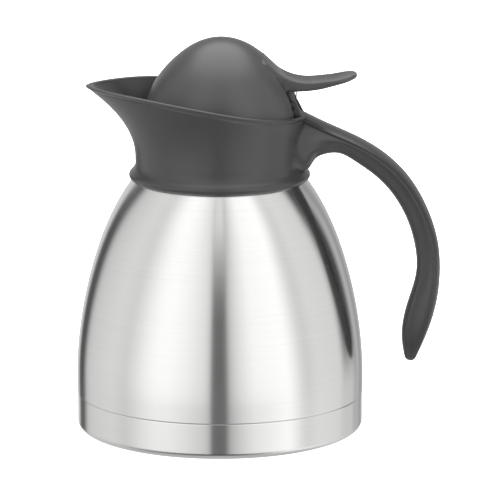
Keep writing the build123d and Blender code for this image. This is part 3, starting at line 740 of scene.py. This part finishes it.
# The coil lies along the jug's y, turned about its own axis to its resting angle.
tilt = math.radians(spring["restAngle"])
turnedX = wire[..., 0] * math.cos(tilt) - wire[..., 1] * math.sin(tilt)
turnedZ = wire[..., 0] * math.sin(tilt) + wire[..., 1] * math.cos(tilt)
fromMiddle = spring["length"] / 2 - wire[..., 2]
springPoints = np.stack([hinge["x"] + turnedX, fromMiddle, hinge["z"] + turnedZ], axis=2)
springParts = [(springPoints, tubeFaces(*springPoints.shape[:2]))]
springWire = makePiece("springWire", springParts, None, ["return_spring"])
springWire.data.materials.append(wireSteel)
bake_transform(springWire)

# The other nodes are shown by their own solids, with a finish each

for nodeName, material in {
    "inner_flask": flaskSteel,
    "getter_capsule": wireSteel,
    "tip_off_seal": wireSteel,
    "base_cover": basePlastic,
    "mouth_gasket": silicone,
    "collar_lock_ring": silicone,
    "hinge_pin": wireSteel,
    "lever_screws": wireSteel,
    "lid_base": lidPlastic,
    "plug_cup": basePlastic,
    "lid_insulation": foam,
    "lid_seal": silicone,
}.items():
    carry(nodeName, material)
print("finishes set on the other nodes")

# Studio: a white room with soft boxes to the left and right of the camera, pale side walls and dark gaps.
# The bands are (turn round the jug from behind, over its left, back to behind; brightness). Each pair of
# rises gives the heights, as the direction's z, between which its band fades in.

studio = {
    "floorSize": 8.0, "lift": 0.8, "fullLevel": 2.0,
    "bands": [
        (-180, 0.7), (-160, 0.75), (-153, 0.1), (-143, 0.1), (-134, 0.7), (-126, 0.8), (-113, 0.87),
        (-98, 0.93), (-82, 0.86), (-73, 1.02), (-64, 1.22), (-53, 1.38), (-42, 1.38), (-28, 1.25),
        (-13, 1.03), (-8, 0.85), (-6, 0.16), (5, 0.16), (8, 0.7), (14, 0.95), (19, 1.1), (29, 1.32),
        (57, 1.42), (64, 1.2), (70, 0.95), (76, 0.84), (87, 0.95), (115, 0.9), (124, 0.1), (130, 0.05),
        (138, 0.08), (146, 0.62), (156, 0.35), (163, 0.5), (180, 0.7),
    ],
    "foot": [
        (-180, 0), (-8, 0), (-6, 0.22), (5, 0.22), (8, 0), (110, 0), (116, 0.82), (134, 0.78), (146, 0.4),
        (160, 0.25), (180, 0.2),
    ],
    "footRises": (-0.12, -0.2),  # just below the horizon; the upright stretch of steel mirrors this
    "low": [
        (-180, 0.7), (-100, 0.7), (-60, 0.3), (-20, 0.08), (15, 0.08), (36, 0.4), (62, 1.25), (90, 1.1),
        (180, 0.5),
    ],
    "lowRises": (-0.25, -0.42), "floorLevel": 0.6, "floorRises": (-0.6, -0.85),
    "centre": [(-180, 0), (-9, 0), (-6, 0.95), (6, 0.95), (9, 0), (180, 0)],
    "centreRises": (0.16, 0.72),  # fills the dark middle gap towards the top
    "stretchRises": (-0.2, 0.4), "stretch": (1.0, 1.12),  # draws all the bands together as they rise
    "topLevel": 3.5, "topLean": (0, 0.27, 1), "topSpread": 0.09, "topRises": (0.86, 0.98),
    "backLevel": 0.35, "backRises": (0.1, 0.35), "behind": (0.6, 0.9), "lampAim": (0.01, 0, 0.1),
    "lamps": {
        "key": {"place": (-0.9, -1.3, 1.1), "size": 0.7, "watts": 7.0},
        "fill": {"place": (1.2, -1.2, 0.7), "size": 0.9, "watts": 5.0},
    },
}

floorMesh = bpy.data.meshes.new("floor")
reach = studio["floorSize"]
floorCorners = [(-reach, -reach, 0), (reach, -reach, 0), (reach, reach, 0), (-reach, reach, 0)]
floorMesh.from_pydata(floorCorners, [], [(0, 1, 2, 3)])
floor = bpy.data.objects.new("floor", floorMesh)
bpy.context.scene.collection.objects.link(floor)
floor.visible_glossy = False
floorPaint, tree = newMaterial("painted_board_white")
plain = addNode(tree, "BsdfDiffuse", values={"Color": (1, 1, 1, 1)})
glow = addNode(tree, "Emission", values={"Color": (1, 1, 1, 1), "Strength": studio["lift"]})
dark = addNode(tree, "Emission", values={"Strength": 0.0})
rays = addNode(tree, "LightPath")
choices = [("Fac", rays, "Is Camera Ray"), (1, dark, "Emission"), (2, glow, "Emission")]
seen = addNode(tree, "MixShader", choices)
both = addNode(tree, "AddShader", [(0, plain, "BSDF"), (1, seen, "Shader")])
addNode(tree, "OutputMaterial", [("Surface", both, "Shader")])
floorMesh.materials.append(floorPaint)

world = bpy.data.worlds.new("studio")
bpy.context.scene.world = world
world.use_nodes = True
tree = world.node_tree
tree.nodes.clear()


def bandCurve(turn, levels):
    # The level for each turn round the jug, as a share of the full level; turn 0 is the camera's side.
    node = addNode(tree, "FloatCurve", [("Value", turn, "Result")])
    points = node.mapping.curves[0].points
    while len(points) < len(levels):
        points.new(0.5, 0.5)
    for point, (degrees, level) in zip(points, sorted(levels)):
        point.location = (degrees + 180) / 360, level / studio["fullLevel"]
        point.handle_type = "VECTOR"
    node.mapping.update()
    return node


def rises(limits, start=0.0, end=1.0, source=None, output="Z"):
    # A value that goes from start to end while the source, by default the direction's z, passes the limits.
    values = {"From Min": limits[0], "From Max": limits[1], "To Min": start, "To Max": end}
    return addNode(tree, "MapRange", [("Value", source or axes, output)], values)


def combine(operation, first, second):
    # A sum on two values, each given as (node, socket).
    return addNode(tree, "Math", [(0, *first), (1, *second)], operation=operation)


def mixLevels(factor, first, second=None, level=0.0):
    # Goes from the first level to the second, or to a fixed one, as the factor grows from 0 to 1.
    links = [("Factor", *factor), ("A", *first)] + ([("B", *second)] if second else [])
    return addNode(tree, "Mix", links, {} if second else {"B": level / studio["fullLevel"]})


place = addNode(tree, "TexCoord")
axes = addNode(tree, "SeparateXYZ", [("Vector", place, "Generated")])
backwards = addNode(tree, "Math", [(0, axes, "Y")], {1: -1.0}, operation="MULTIPLY")
angle = combine("ARCTAN2", (axes, "X"), (backwards, "Value"))
stretch = rises(studio["stretchRises"], *studio["stretch"])
wide = combine("MULTIPLY", (angle, "Value"), (stretch, "Result"))
limits = {"From Min": -math.pi, "From Max": math.pi}
turn = addNode(tree, "MapRange", [("Value", wide, "Value")], limits)
bands, centre = bandCurve(turn, studio["bands"]), bandCurve(turn, studio["centre"])
footBand, low = bandCurve(turn, studio["foot"]), bandCurve(turn, studio["low"])
upCentre, upBack = rises(studio["centreRises"]), rises(studio["backRises"])
direction, leaning = [(0, place, "Generated")], {1: studio["topLean"]}
overhead = addNode(tree, "VectorMath", direction, leaning, operation="DOT_PRODUCT")
offMiddle = addNode(tree, "Math", [(0, axes, "X")], operation="ABSOLUTE")
spreadLinks, spreadBy = [(0, offMiddle, "Value"), (2, overhead, "Value")], {1: studio["topSpread"]}
spread = addNode(tree, "Math", spreadLinks, spreadBy, operation="MULTIPLY_ADD")
upTop = rises(studio["topRises"], 0.0, 1.0, spread, "Value")
lifted = combine("MULTIPLY", (centre, "Value"), (upCentre, "Result"))
aboveFoot = combine("MAXIMUM", (bands, "Value"), (lifted, "Value"))
downFoot, downLow, downFloor = (rises(studio[name]) for name in ("footRises", "lowRises", "floorRises"))
lowered = combine("MULTIPLY", (footBand, "Value"), (downFoot, "Result"))
wallLight = combine("MAXIMUM", (aboveFoot, "Value"), (lowered, "Value"))
lowWalls = mixLevels((downLow, "Result"), (wallLight, "Value"), (low, "Value"))
allSides = mixLevels((downFloor, "Result"), (lowWalls, "Result"), level=studio["floorLevel"])
behind = rises(studio["behind"], 0.0, 1.0, axes, "Y")
behindUp = combine("MULTIPLY", (behind, "Result"), (upBack, "Result"))
walls = mixLevels((behindUp, "Value"), (allSides, "Result"), level=studio["backLevel"])
room = mixLevels((upTop, "Result"), (walls, "Result"), level=studio["topLevel"])
lit = addNode(tree, "Background", [("Color", room, "Result")], {"Strength": studio["fullLevel"]})
white = addNode(tree, "Background", values={"Color": (1, 1, 1, 1), "Strength": 1.0})
rays = addNode(tree, "LightPath")
choices = [("Fac", rays, "Is Camera Ray"), (1, lit, "Background"), (2, white, "Background")]
either = addNode(tree, "MixShader", choices)
addNode(tree, "OutputWorld", [("Surface", either, "Shader")])
print("world light made")


def aim(thing, target):
    # Turns a thing so that its own -Z looks at the target.
    thing.rotation_euler = (Vector(target) - thing.location).to_track_quat("-Z", "Y").to_euler()


for lampName, values in studio["lamps"].items():
    light = bpy.data.lights.new(lampName, "AREA")
    light.size, light.energy = values["size"], values["watts"]
    lamp = bpy.data.objects.new(lampName, light)
    bpy.context.scene.collection.objects.link(lamp)
    lamp.location = values["place"]
    lamp.visible_glossy = False
    aim(lamp, studio["lampAim"])
print("lamps made")

view = {"place": (14.45, -1950.0, 515.0), "pitch": 12.424, "lens": 300.96, "sensor": 36.0, "farthest": 50.0}
cameraData = bpy.data.cameras.new("camera")
cameraData.lens, cameraData.sensor_width, cameraData.clip_end = view["lens"], view["sensor"], view["farthest"]
camera = bpy.data.objects.new("camera", cameraData)
bpy.context.scene.collection.objects.link(camera)
camera.location = [value * mm for value in view["place"]]
camera.rotation_euler = (math.radians(90 - view["pitch"]), 0, 0)
bpy.context.scene.camera = camera
bpy.context.scene.view_settings.view_transform = "Standard"
print("camera placed")
